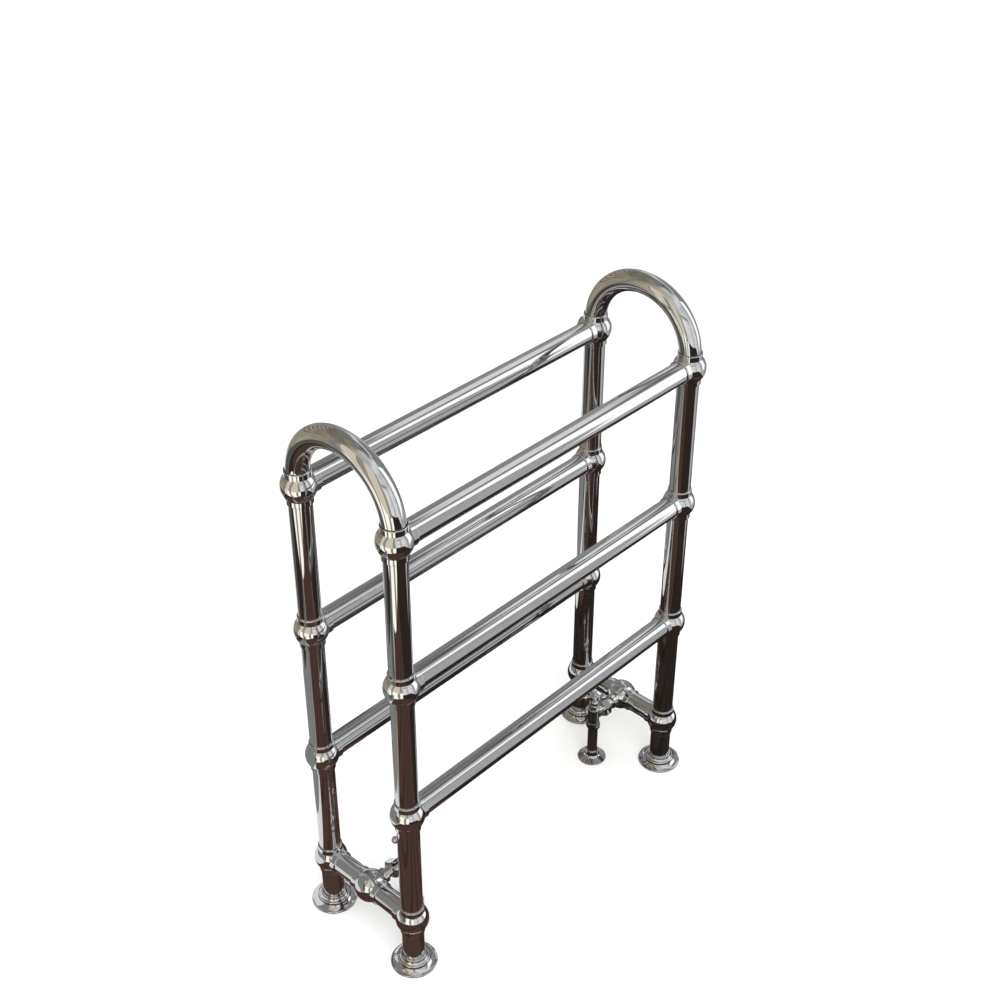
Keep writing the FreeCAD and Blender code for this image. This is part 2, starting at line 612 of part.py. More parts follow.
def crosshead(name):
    """The handle: a turned hub and four arms with ball ends, drawn about the crossing of its arms."""
    body = new_body(name)
    neck = "(Dim.arm_reach - sqrt((Dim.arm_ball / 2)^2 - (Dim.arm_neck / 2)^2))"
    tip = "(Dim.arm_reach + Dim.arm_ball / 2)"
    hub_r = "Dim.hub / 2"
    arms = [
        (f"-{tip}", "0", "Dim.arm_ball / 2", 1),
        (f"-{neck}", "Dim.arm_neck / 2"),
        (f"-{hub_r} + 1", "Dim.arm_root / 2"),
        (f"{hub_r} - 1", "Dim.arm_root / 2"),
        (neck, "Dim.arm_neck / 2", "Dim.arm_ball / 2", 1),
        (tip, "0"),
    ]
    turn(body, "arms_along", arms, about="H_Axis")
    turn(body, "arms_across", arms, about="H_Axis", plane="YZ_Plane")
    collar_r, taper = f"{hub_r} - Dim.hub_step", "0.6"
    turn(body, "hub", [
        ("0", "-Dim.hub_foot"),
        (f"{collar_r} - {taper}", "-Dim.hub_foot"),
        (collar_r, f"-Dim.hub_foot + {taper}"),
        (collar_r, "-Dim.hub_collar", "3", 1),
        (hub_r, "-Dim.hub_waist"),
        (hub_r, "Dim.hub_shoulder", "2.4", -1),
        (collar_r, "Dim.hub_top"),
        ("0", "Dim.hub_top"),
    ])
    wide_r, end_r = f"{SPINDLE_R} + Dim.braze_gap", "Dim.spindle_end / 2 + Dim.braze_gap"
    screw_r = "Dim.handle_screw / 2 + 0.6"
    turn(body, "spindle_bore", [
        ("0", f"-Dim.hub_foot - {OVERRUN}"),
        (wide_r, f"-Dim.hub_foot - {OVERRUN}"),
        (wide_r, "-6.4"),
        (end_r, "-6.4"),
        (end_r, "2.2"),
        (screw_r, "2.2"),
        (screw_r, f"Dim.hub_top + {OVERRUN}"),
        ("0", f"Dim.hub_top + {OVERRUN}"),
    ], cut=True)
    return body


def handle_screw(name):
    """The domed screw that holds the handle on the spindle, drawn about the crossing of the arms."""
    body = new_body(name)
    head_r, edge = "(Dim.handle_head / 2)", "(Dim.hub_top + Dim.braze_gap + Dim.handle_head_edge)"
    turn(body, "screw", [
        ("0", "-3.5"),
        ("Dim.handle_screw / 2", "-3.5"),
        ("Dim.handle_screw / 2", "Dim.hub_top + Dim.braze_gap"),
        (head_r, "Dim.hub_top + Dim.braze_gap"),
        (head_r, edge, f"({head_r}^2 + Dim.handle_head_dome^2) / (2 * Dim.handle_head_dome)", -1),
        ("0", f"{edge} + Dim.handle_head_dome"),
    ])
    return body


def valve_tail(name):
    """The tube from the union to the tee, with the flange that the union nut pulls on."""
    body = new_body(name)
    seat, flange_r = "(Dim.union_seat + Dim.braze_gap)", f"({THREAD_R} - 0.5)"
    end = f"Dim.valve_offset - Dim.branch_stop - {EASE}"
    turn(body, "tail", [
        (seat, "Dim.tail_bore / 2"),
        (seat, f"{flange_r} - Dim.lip"),
        (f"{seat} + Dim.lip", flange_r),
        (f"{seat} + Dim.tail_flange", flange_r),
        (f"{seat} + Dim.tail_flange", "Dim.tail / 2"),
        (end, "Dim.tail / 2"),
        (end, "Dim.tail_bore / 2"),
    ], about="H_Axis")
    return body


def union_nut(name):
    """The hexagonal nut of the union, drawn with its bore along +Z and its threaded end at z = 0."""
    shoulder = "(Dim.union_seat - Dim.union_start + 0.1 + Dim.tail_flange)"
    return hexagon(name, "Dim.union_flats", nut_outline("Dim.union_flats", "0", "Dim.union_length", [
        ("Dim.tail / 2 + 0.1", "Dim.union_length"),
        ("Dim.tail / 2 + 0.1", shoulder),
        (f"{THREAD_R} + Dim.braze_gap", shoulder),
        (f"{THREAD_R} + Dim.braze_gap", "0"),
    ]))


def pipe_nut(name):
    """The compression nut under the valve body."""
    low, high = "Dim.pipe_nut_foot", "(Dim.shell_foot - 0.1)"
    return hexagon(name, "Dim.pipe_nut_flats", nut_outline("Dim.pipe_nut_flats", low, high, [
        ("Dim.pipe_thread / 2 + Dim.braze_gap", high),
        ("Dim.pipe_thread / 2 + Dim.braze_gap", f"{low} + Dim.lip"),
        (f"{PIPE_R} + 0.1", f"{low} + Dim.lip"),
        (f"{PIPE_R} + 0.1", low),
    ]))


def pipe_olive(name):
    """The barrel-shaped ring that the pipe nut squeezes on the pipe."""
    body = new_body(name)
    bore_r, crown_r = f"{PIPE_R} + Dim.braze_gap", "Dim.olive / 2"
    turn(body, "olive", [
        (bore_r, "Dim.olive_foot"),
        (f"{bore_r} + 0.25", "Dim.olive_foot"),
        (crown_r, "Dim.olive_foot + 1.3", "2.2", -1),
        (crown_r, "Dim.olive_top - 0.3"),
        (f"{bore_r} + 0.3", "Dim.olive_top"),
        (bore_r, "Dim.olive_top"),
    ])
    return body


def spindle_seal(name):
    """The ring in the bonnet's neck that seals the spindle."""
    body = new_body(name)
    turn(body, "seal", ring(f"{SPINDLE_R} + Dim.running_gap", f"{SPINDLE_R} + Dim.seal - Dim.running_gap",
                            "Dim.seal_level", "Dim.seal_level + Dim.seal"))
    return body


def floor_rose(name):
    """The turned cover where a pipe comes through the floor: thin rim, dome and hub."""
    body = new_body(name)
    rim_r, bore_r = "Dim.rose / 2 - 0.8", "Dim.sleeve / 2 + Dim.braze_gap"
    hub_r, bevel = "Dim.rose_hub / 2", "0.8"
    turn(body, "rose", [
        (bore_r, "0"),
        (rim_r, "0", "0.9", -1),
        (rim_r, "Dim.rose_rim"),
        ("Dim.rose_dome_r", "Dim.rose_dome_top", "Dim.rose_dome", 1),
        ("Dim.rose_hub_foot_r", "Dim.rose_hub_foot"),
        (hub_r, f"Dim.rose_top - {bevel}", bevel, -1),
        (f"{hub_r} - {bevel}", "Dim.rose_top"),
        (bore_r, "Dim.rose_top"),
    ])
    return body


def valve_point(end):
    """The x and z of the crossing of a valve's axes, as expressions."""
    return f"{ENDS[end]} * (Dim.post_spacing / 2 - Dim.valve_offset)", "Dim.base_level"


def valve(end):
    """One angle valve. Returns the pieces that are grouped with those of the other end, by group name."""
    x, z = valve_point(end)
    facing = 0 if end == "right" else 180

    def here(piece, lift="0", degrees=facing):
        return put(piece, x, "0", f"{z} + {lift}", degrees=degrees)

    keep(here(valve_body(f"valve_body_{end}")))
    keep(here(valve_bonnet(f"valve_bonnet_{end}")))
    keep(here(valve_spindle(f"valve_spindle_{end}")))
    keep(here(jumper(f"valve_jumper_{end}")))
    keep(here(seat_washer(f"seat_washer_{end}")))
    keep(here(crosshead(f"valve_handle_{end}"), "Dim.handle_level", facing + size("Dim.handle_turn")))
    keep(here(handle_screw(f"handle_screw_{end}"), "Dim.handle_level"))
    keep(here(valve_tail(f"valve_tail_{end}")))
    nut = union_nut(f"union_nut_{end}")
    put(nut, f"{x} + {ENDS[end]} * Dim.union_start", "0", z, (0, 1, 0), 90 if end == "right" else -90)
    pipe = new_body(f"supply_pipe_{end}")
    turn(pipe, "pipe", ring(f"{PIPE_R} - Dim.pipe_wall", PIPE_R, "0", "Dim.base_level + Dim.pipe_stop"))
    sleeve = new_body(f"pipe_sleeve_{end}")
    turn(sleeve, "sleeve", ring("Dim.sleeve_bore / 2", "Dim.sleeve / 2", "0",
                                f"Dim.base_level + Dim.pipe_nut_foot - {EASE}"))
    return {
        "union_nuts": nut,
        "pipe_nuts": here(pipe_nut(f"pipe_nut_{end}")),
        "pipe_olives": here(pipe_olive(f"pipe_olive_{end}")),
        "spindle_seals": here(spindle_seal(f"spindle_seal_{end}")),
        "supply_pipes": put(pipe, x),
        "pipe_sleeves": put(sleeve, x),
        "floor_roses": put(floor_rose(f"floor_rose_{end}"), x),
    }


# ---------------------------------------------------------------- air vent

def air_vent():
    """The plug and the bleed screw in the back of the top back right ball joint, both along its -Y."""
    x, y = post_place("right", "back")
    face = "Dim.vent_face"
    plug = new_body("vent_plug")
    seat, bore_r = f"({face} + Dim.braze_gap)", "Dim.bleed_screw / 2 + Dim.braze_gap"
    top = f"{face} + Dim.vent_head_height"
    turn(plug, "plug", [
        (bore_r, f"{face} - Dim.vent_depth"),
        ("Dim.vent / 2", f"{face} - Dim.vent_depth"),
        ("Dim.vent / 2", seat),
        ("Dim.vent_head / 2", seat),
        ("Dim.vent_head / 2", f"{top} - 1", "1", -1),
        ("Dim.vent_head / 2 - 1", top),
        (bore_r, top),
    ])
    screw = new_body("vent_screw")
    shank_r, tip_r = "Dim.bleed_screw / 2", "Dim.bleed_screw / 4"
    turn(screw, "screw", [
        ("0", f"{face} - 5"),
        (tip_r, f"{face} - 5"),
        (shank_r, f"{face} - 5 + {tip_r}"),
        (shank_r, f"{top} + 0.2"),
        (f"{shank_r} - 0.6", f"{top} + 0.8"),
        ("0", f"{top} + 0.8"),
    ])
    square = doc.addObject("Part::Box", "vent_screw_square")
    for key in ("Length", "Width", "Height"):
        square.setExpression(key, "Dim.bleed_square")
    put(square, "-Dim.bleed_square / 2", "-Dim.bleed_square / 2", f"{top} + 0.7")
    headed = doc.addObject("Part::Fuse", "vent_screw_whole")
    headed.Base, headed.Tool = screw, square
    screw.Label = "vent_screw_shank"
    headed.Label = "vent_screw"
    for piece in (plug, headed):
        keep(put(piece, x, y, "Dim.top_level", (1, 0, 0), -90))


def write_parts():
    """Checks every object and writes each sub-part to its own file."""
    doc.recompute()
    for item in doc.Objects:
        if {"Invalid", "Error"} & set(item.State):
            raise RuntimeError(f"{item.Label} failed: {item.State}")
    os.makedirs("parts", exist_ok=True)
    for label, item in sorted(parts.items()):
        shape = item.Shape
        if shape.isNull() or not shape.isValid() or not shape.Solids:
            raise RuntimeError(f"{label} has no valid shape")
        shape.exportStep(f"parts/{label}.step")
        print(f"{label}: {len(shape.Solids)} solid(s), {shape.Volume / 1000:.1f} cm3")
    print(f"{len(parts)} sub-parts")


for end in ENDS:
    for side in SIDES:
        post(end, side)
    arch(end)
for side in SIDES:
    for level in LEVELS[:3]:
        rail(level, side)
group("base_cross_tubes", [piece for end in ENDS for piece in base(end)])
pairs = [valve(end) for end in ENDS]
for name in pairs[0]:
    group(name, [pair[name] for pair in pairs])
air_vent()
write_parts()
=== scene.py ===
"""Looks of a floor-standing towel warmer: chromed brass tube, ball joints and angle valves.

Metres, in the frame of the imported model: +Z up, +X along the towel rails, +Y to the back. The drawn tubes
are made here as fine closed meshes. Every other piece keeps its CAD shape and gets its finish here.
"""

import json
import math

import bpy
from mathutils import Matrix, Vector


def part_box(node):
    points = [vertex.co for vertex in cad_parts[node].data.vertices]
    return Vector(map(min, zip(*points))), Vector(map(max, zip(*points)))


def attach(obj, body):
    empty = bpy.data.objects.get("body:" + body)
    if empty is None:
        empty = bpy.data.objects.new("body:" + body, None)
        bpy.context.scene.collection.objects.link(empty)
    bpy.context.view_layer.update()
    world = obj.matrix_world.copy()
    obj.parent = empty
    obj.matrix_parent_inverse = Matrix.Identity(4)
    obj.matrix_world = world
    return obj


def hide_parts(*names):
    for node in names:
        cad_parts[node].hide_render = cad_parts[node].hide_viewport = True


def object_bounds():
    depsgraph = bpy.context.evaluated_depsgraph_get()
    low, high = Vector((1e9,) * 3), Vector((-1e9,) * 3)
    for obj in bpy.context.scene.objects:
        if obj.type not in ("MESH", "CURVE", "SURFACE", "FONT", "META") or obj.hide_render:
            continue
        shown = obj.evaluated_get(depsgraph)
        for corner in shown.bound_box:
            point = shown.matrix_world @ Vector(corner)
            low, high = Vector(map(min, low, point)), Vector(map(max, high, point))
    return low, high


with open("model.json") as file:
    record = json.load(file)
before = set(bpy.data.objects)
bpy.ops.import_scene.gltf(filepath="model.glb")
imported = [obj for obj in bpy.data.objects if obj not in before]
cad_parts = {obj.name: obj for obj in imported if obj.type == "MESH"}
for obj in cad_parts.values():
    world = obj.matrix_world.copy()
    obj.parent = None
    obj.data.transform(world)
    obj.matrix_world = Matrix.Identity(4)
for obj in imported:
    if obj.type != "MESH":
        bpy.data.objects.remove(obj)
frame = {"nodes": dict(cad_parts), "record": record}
cad_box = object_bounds()

ENDS = ("left", "right")
SIDES = ("front", "back")
LEVELS = ("top", "middle", "lower")
MM = 0.001


# ---------------------------------------------------------------- small helpers

def linear(hex_code):
    """An sRGB hex colour as linear RGB with full alpha."""
    channels = [int(hex_code[place:place + 2], 16) / 255 for place in (1, 3, 5)]
    return [c / 12.92 if c <= 0.04045 else ((c + 0.055) / 1.055) ** 2.4 for c in channels] + [1.0]


def add(tree, kind, inputs=None, stops=None, **settings):
    """Adds a node to a tree: its settings, its inputs as values or links, and a ramp's colour stops."""
    node = tree.nodes.new(kind)
    for key, value in settings.items():
        setattr(node, key, value)
    for key, value in (inputs or {}).items():
        if isinstance(value, bpy.types.NodeSocket):
            tree.links.new(value, node.inputs[key])
        else:
            node.inputs[key].default_value = value
    if stops:
        elements = node.color_ramp.elements
        while len(elements) > 1:
            elements.remove(elements[-1])
        for number, (place, colour) in enumerate(stops):
            element = elements.new(place) if number else elements[0]
            element.position = place
            element.color = colour
    return node


# ---------------------------------------------------------------- tubes

AROUND = 96                  # facets round a drawn tube
BEND_STEPS = 48              # rings on each quarter bend of an arch
TUBE_WALL = 1.5 * MM
SEATING = 8.8 * MM           # how far a tube goes into the collar of its ball joint
SLEEVE_WALL = 0.9 * MM
ARCH_BEND = 92.5 * MM        # radius of an arch's axis in its quarter bends
CREASE = 40                  # an edge sharper than this many degrees is drawn as a crease


def tube_mesh(name, runs, radius, wall):
    """One object of closed tubes. A run is a list of points that the tube's axis passes through."""
    vertices, faces = [], []
    for run in runs:
        rings, first = [], len(vertices)
        for number, point in enumerate(run):
            ahead = (run[min(number + 1, len(run) - 1)] - run[max(number - 1, 0)]).normalized()
            side = Vector((1, 0, 0)) if abs(ahead.x) < 0.5 else Vector((0, 1, 0))
            across = ahead.cross(side).normalized()
            side = across.cross(ahead)
            rings.append((point, side, across))
        for reach in (radius, radius - wall):
            for point, side, across in rings:
                for step in range(AROUND):
                    turn = 2 * math.pi * step / AROUND
                    vertices.append(point + reach * (math.cos(turn) * side + math.sin(turn) * across))
        count = len(rings)
        for step in range(AROUND):
            after = (step + 1) % AROUND
            for skin in (0, 1):
                for ring in range(count - 1):
                    low = first + (skin * count + ring) * AROUND
                    quad = (low + step, low + after, low + AROUND + after, low + AROUND + step)
                    faces.append(quad if skin else quad[::-1])
            for ring in (0, count - 1):
                outer, inner = first + ring * AROUND, first + (count + ring) * AROUND
                quad = (outer + step, outer + after, inner + after, inner + step)
                faces.append(quad if ring == 0 else quad[::-1])
    mesh = bpy.data.meshes.new(name)
    mesh.from_pydata(vertices, [], faces)
    mesh.validate()
    mesh.shade_smooth()
    mesh.set_sharp_from_angle(angle=math.radians(CREASE))
    piece = bpy.data.objects.new(name, mesh)
    bpy.context.scene.collection.objects.link(piece)
    return piece


def settle(piece, node, material):
    """Puts a finished piece in the place of its CAD node."""
    piece.data.materials.append(material)
    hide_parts(node)
    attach(piece, "root")


def middle(node):
    """The middle of a CAD node's box."""
    low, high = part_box(node)
    return (low + high) / 2


def posts(material):
    """The three tubes and the stub of each post, each from one ball joint's socket to the next."""
    for end in ENDS:
        for side in SIDES:
            where = f"{side}_{end}"
            joints = [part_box(f"ball_joint_{level}_{where}") for level in (*LEVELS, "base")]
            axis = middle(f"post_tubes_{where}")
            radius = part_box(f"post_tubes_{where}")[1].x - axis.x
            runs = []
            for upper, lower in zip(joints, joints[1:]):
                low, high = lower[1].z - SEATING, upper[0].z + SEATING
                runs.append([Vector((axis.x, axis.y, z)) for z in (low, high)])
            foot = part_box(f"post_tubes_{where}")[0].z
            runs.append([Vector((axis.x, axis.y, z)) for z in (foot, joints[-1][0].z + SEATING)])
            settle(tube_mesh(f"post_{where}", runs, radius, TUBE_WALL), f"post_tubes_{where}", material)


def rails(material):
    """The six towel rails."""
    for level in LEVELS:
        for side in SIDES:
            node = f"rail_{level}_{side}"
            low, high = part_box(node)
            axis = middle(node)
            run = [Vector((x, axis.y, axis.z)) for x in (low.x, high.x)]
            settle(tube_mesh(f"towel_{node}", [run], high.z - axis.z, TUBE_WALL), node, material)


def arches(material):
    """The two bent tubes over the end frames: a short leg, two quarter bends and the other leg."""
    for end in ENDS:
        node = f"arch_{end}"
        low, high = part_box(node)
        x, radius = middle(node).x, (high.x - low.x) / 2
        spring = high.z - radius - ARCH_BEND
        run = [Vector((x, low.y + radius, low.z))]
        centres = low.y + radius + ARCH_BEND, high.y - radius - ARCH_BEND
        for centre_y, start in zip(centres, (math.pi, math.pi / 2)):
            for step in range(BEND_STEPS + 1):
                turn = start - math.pi / 2 * step / BEND_STEPS
                y = centre_y + ARCH_BEND * math.cos(turn)
                run.append(Vector((x, y, spring + ARCH_BEND * math.sin(turn))))
        run.append(Vector((x, high.y - radius, low.z)))
        settle(tube_mesh(f"bent_{node}", [run], radius, TUBE_WALL), node, material)


def cross_tubes(material):
    """The four short tubes between the base ball joints and the tees."""
    node = "base_cross_tubes"
    low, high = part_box(node)
    radius = (high.z - low.z) / 2
    runs = []
    for end in ENDS:
        tee = middle(f"base_tee_{end}")
        axis_x = middle(f"arch_{end}").x
        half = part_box(f"base_tee_{end}")[1].y - tee.y - SEATING
        runs.append([Vector((axis_x, low.y, tee.z)), Vector((axis_x, -half, tee.z))])
        runs.append([Vector((axis_x, half, tee.z)), Vector((axis_x, high.y, tee.z))])
    settle(tube_mesh("cross_tubes", runs, radius, TUBE_WALL), node, material)


def pipe_sleeves(material):
    """The plated sleeve round each supply pipe, between the floor rose and the pipe nut."""
    low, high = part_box("pipe_sleeves")
    radius = (high.y - low.y) / 2
    runs = [[Vector((x, 0, z)) for z in (low.z, high.z)] for x in (low.x + radius, high.x - radius)]
    settle(tube_mesh("supply_sleeves", runs, radius, SLEEVE_WALL), "pipe_sleeves", material)


# ---------------------------------------------------------------- finishes

def new_material(name):
    """An empty material: its node tree and its shader."""
    material = bpy.data.materials.new(name)
    material.use_nodes = True
    tree = material.node_tree
    return material, tree, tree.nodes["Principled BSDF"]


FILM_SCALE = 28.0            # of the patches where water dried, for cells 36 mm wide
DROP_PITCH = 12 * MM         # between the dull dots that drops leave, each about 2 mm wide
GRAIN_DEPTH = 0.002 * MM     # of the polishing grain
TARNISH_SCALE = 220.0        # of the tarnish on bare brass, for cells 4.5 mm wide
TOOL_LINES = 0.3 * MM        # apart on turned brass
TOOL_DEPTH = 0.01 * MM
BLOOM_SCALE = 600.0          # of the bloom on rubber, for cells 1.7 mm wide
BLOOM_DEPTH = 0.02 * MM
ONE_WAVE = 2 * math.pi / 20  # the scale at which a wave texture repeats once in a metre


def chrome(name, rough, dull, ripple, ripple_size, grain_size):
    """Bright chromium plate on polished brass.

    rough and dull are the clean and the handled roughness, ripple the height of the polisher's slow waves
    and ripple_size their length. grain_size is the width of the polishing grain, drawn coarser than the real
    one so that it shows.
    """
    material, tree, shader = new_material(name)
    shader.inputs["Metallic"].default_value = 1.0
    place = add(tree, "ShaderNodeTexCoord").outputs["Object"]
    # water dries on warm plate in soft-edged dull patches
    film = add(tree, "ShaderNodeTexNoise", {"Vector": place, "Scale": FILM_SCALE, "Detail": 4.0,
                                            "Roughness": 0.6})
    # and drops leave dull dots
    drops = add(tree, "ShaderNodeTexVoronoi", {"Vector": place, "Scale": 1 / DROP_PITCH})
    dots = add(tree, "ShaderNodeMapRange", {"Value": drops.outputs["Distance"], "From Min": 0.06,
                                            "From Max": 0.1, "To Min": 1.0, "To Max": 0.0})
    grain = add(tree, "ShaderNodeTexNoise", {"Vector": place, "Scale": 1 / grain_size, "Detail": 2.0})
    wear = add(tree, "ShaderNodeMapRange", {"Value": film.outputs["Fac"], "From Min": 0.42, "From Max": 0.72},
               interpolation_type="SMOOTHSTEP")
    worn = add(tree, "ShaderNodeMath", {0: wear.outputs[0], 1: dots.outputs[0]}, operation="MAXIMUM")
    roughness = add(tree, "ShaderNodeMapRange", {"Value": worn.outputs[0], "To Min": rough, "To Max": dull})
    tree.links.new(roughness.outputs[0], shader.inputs["Roughness"])
    tint = add(tree, "ShaderNodeMix", {"Factor": film.outputs["Fac"], "A": linear("#D2D3D4"),
                                       "B": linear("#C6C7C8")}, data_type="RGBA")
    tree.links.new(tint.outputs["Result"], shader.inputs["Base Color"])
    waves = add(tree, "ShaderNodeTexNoise", {"Vector": place, "Scale": 1 / ripple_size, "Detail": 1.0})
    slow = add(tree, "ShaderNodeBump", {"Height": waves.outputs["Fac"], "Distance": ripple})
    fine = add(tree, "ShaderNodeBump", {"Height": grain.outputs["Fac"], "Distance": GRAIN_DEPTH,
                                        "Normal": slow.outputs["Normal"]})
    tree.links.new(fine.outputs["Normal"], shader.inputs["Normal"])
    return material


def turned_brass():
    """Brass bar turned and left bare: warm yellow with fine tool lines. Only the spindles' tops show."""
    material, tree, shader = new_material("turned_bare_brass")
    shader.inputs["Metallic"].default_value = 1.0
    place = add(tree, "ShaderNodeTexCoord").outputs["Object"]
    tarnish = add(tree, "ShaderNodeTexNoise", {"Vector": place, "Scale": TARNISH_SCALE, "Detail": 4.0})
    colour = add(tree, "ShaderNodeMix", {"Factor": tarnish.outputs["Fac"], "A": linear("#E0C27A"),
                                         "B": linear("#B98F4A")}, data_type="RGBA")
    tree.links.new(colour.outputs["Result"], shader.inputs["Base Color"])
    rough = add(tree, "ShaderNodeMapRange", {"Value": tarnish.outputs["Fac"], "To Min": 0.18, "To Max": 0.42})
    tree.links.new(rough.outputs[0], shader.inputs["Roughness"])
    # tool lines along the turned axis, coarser than the real 0.1 mm feed so that they show
    lines = add(tree, "ShaderNodeTexWave", {"Vector": place, "Scale": ONE_WAVE / TOOL_LINES},
                bands_direction="Z")
    bump = add(tree, "ShaderNodeBump", {"Height": lines.outputs["Fac"], "Distance": TOOL_DEPTH})
    tree.links.new(bump.outputs["Normal"], shader.inputs["Normal"])
    return material


def moulded_rubber():
    """EPDM rubber as moulded: near black, with a faint bloom."""
    material, tree, shader = new_material("moulded_epdm")
    place = add(tree, "ShaderNodeTexCoord").outputs["Object"]
    bloom = add(tree, "ShaderNodeTexNoise", {"Vector": place, "Scale": BLOOM_SCALE, "Detail": 3.0})
    colour = add(tree, "ShaderNodeMix", {"Factor": bloom.outputs["Fac"], "A": linear("#161616"),
                                         "B": linear("#2B2B2A")}, data_type="RGBA")
    tree.links.new(colour.outputs["Result"], shader.inputs["Base Color"])
    shader.inputs["Roughness"].default_value = 0.75
    bump = add(tree, "ShaderNodeBump", {"Height": bloom.outputs["Fac"], "Distance": BLOOM_DEPTH})
    tree.links.new(bump.outputs["Normal"], shader.inputs["Normal"])
    return material


def finish_cad_nodes(finishes):
    """Gives each CAD node the finish of its material slot in the record."""
    for row in frame["record"]["subparts"]:
        mesh = frame["nodes"][row["node"]].data
        mesh.materials.clear()
        mesh.materials.append(finishes[row["material_slot"]])


# ---------------------------------------------------------------- room, floor and light

PLATE = 0.62                 # share of light that the plate gives back, which the room's colours allow for

# the few paints and woods of the mirrored room, as they show in the plate
LIT = "#FFFFFF"
PALE = "#D0D0D0"
GREY = "#A0A0A0"
SHADE = "#787878"
DARK = "#505050"
SUNLIT = "#FFFCF0"
CREAM = "#C8C0B0"
DUN = "#908878"
SLAT = "#383430"
WALNUT_DARK = "#3A2A26"
WALNUT_LIGHT = "#483630"
SHADED_DARK = "#201C18"
SHADED_LIGHT = "#2C2420"

# the walls by azimuth in degrees from +X towards +Y: pale at the front by the window, grey at the right,
# drab at the back and cream at the left
WALLS = ((-180, CREAM), (-150, PALE), (-66, PALE), (-60, GREY), (-25, GREY), (-8, SHADE), (10, SHADE),
         (32, GREY), (48, SHADE), (90, DUN), (140, DUN), (180, CREAM))
CEILING_SHARE = 0.72         # how bright the ceiling is beside the wall under it
CEILING_FOOT = 20            # elevations in degrees between which the wall turns into the ceiling
CEILING_TOP = 48

# the dark wooden floor as a rectangle: how far below the middle of the rack it lies, and how far it reaches
# from there along each axis, in metres
FLOOR_BELOW = 0.45
FLOOR_REACH = {"X": (-3.0, 0.48), "Y": (-3.0, 0.42)}
FLOOR_EDGE = 0.02            # softness of its edge
STUDIO = 1.05                # brightness of the plain white studio

SHADED_FROM = -42            # elevations in degrees between which the floor turns from shaded to warm
WARM_FROM = -50
MOTTLE = 0.28                # how far the room's clutter lifts or lowers a wall's brightness

# lit openings and dark beams, each a rectangle on a plane that faces the rack. The plane's azimuth, elevation
# and tilt, then the rectangle's left, right, low and high edges, all in degrees; softness and colour
PANELS = (
    (-90, 0, 0, 42, 71, -24, 61, 0.02, LIT),           # the window
    (-90, 0, 0, 42, 71, 61.5, 84, 0.05, SHADE),        # its lintel
    (12, 50, -14, -17, 17, -4.5, 4.5, 0.03, PALE),     # a roof light, and the bar across it
    (14, 56, -14, -16, 16, -1, 1, 0.02, DARK),
    (32, 31, -60, -11, 11, -3.5, 3.5, 0.03, PALE),     # sun on the right-hand wall
    (8, 42, -24, -20, 20, -1.2, 1.2, 0.02, DARK),      # a beam on the right
    (-75, 62, 0, -30, 26, -7, 7, 0.12, PALE),          # light thrown on the ceiling by the window
    (-120, 32, 4, -26, 24, -2, 2, 0.03, SHADE),        # a picture rail
    (-96, 14, 0, -4, 4, -26, 18, 0.03, GREY),          # a door post
    (-170, 30, -6, -20, 14, -6, 6, 0.04, CREAM),       # the top of the left-hand wall
    (140, 6, 0, -3, 3, -30, 30, 0.03, SHADE),          # the corner at the back
    (125, -32, 0, -26, 26, -9, 9, 0.05, DARK),         # shade under the blind
    (70, -36, 0, -26, 20, -10, 10, 0.10, PALE),        # light on the foot of the wall behind
)

# a slatted blind behind the rack: its azimuth, tilt and lowest slat, the slats' spacing and number, and half
# the width and half the thickness of one, all but the number in degrees
BLIND_AZIMUTH = 104
BLIND_TILT = 14
BLIND_FOOT = 4
BLIND_PITCH = 7
BLIND_SLATS = 8
SLAT_REACH = 32
SLAT_THICKNESS = 0.75
SLAT_EDGE = 0.012            # softness of a slat's edge

BOARD_DROP = -0.002          # the mirrored floor boards lie just under the studio floor, in metres
BOARD_PITCH = 0.14           # one floor board's width in metres
DOOR_TOP = 0.66              # heights in metres of the sunlit doorway, the wall over it, the skirting board
WALL_TOP = 1.9               # and the sill of the window behind
SKIRTING_TOP = 0.11
SILL = 0.42


def part_of_turn(degrees):
    """An azimuth from -180 to 180 degrees, from +X towards +Y, as 0 to 1 along a ramp."""
    return (degrees + 180) / 360


def seen(hex_code):
    """The room colour that shows as this colour in chromium plate."""
    return [channel / PLATE for channel in linear(hex_code)[:3]] + [1.0]


def by_azimuth(tree, around, table):
    """A ramp over azimuth from a table of azimuths and colours."""
    stops = [(part_of_turn(degrees), seen(colour)) for degrees, colour in table]
    return add(tree, "ShaderNodeValToRGB", {"Fac": around}, stops).outputs["Color"]


def soft_step(tree, value, low, high):
    """A soft step from 0 to 1 as the value goes from low to high."""
    return add(tree, "ShaderNodeMapRange", {"Value": value, "From Min": low, "From Max": high},
               interpolation_type="SMOOTHSTEP").outputs[0]


def blended(tree, share, below, above):
    """One colour over another by a share from 0 to 1."""
    return add(tree, "ShaderNodeMix", {"Factor": share, "A": below, "B": above},
               data_type="RGBA").outputs["Result"]


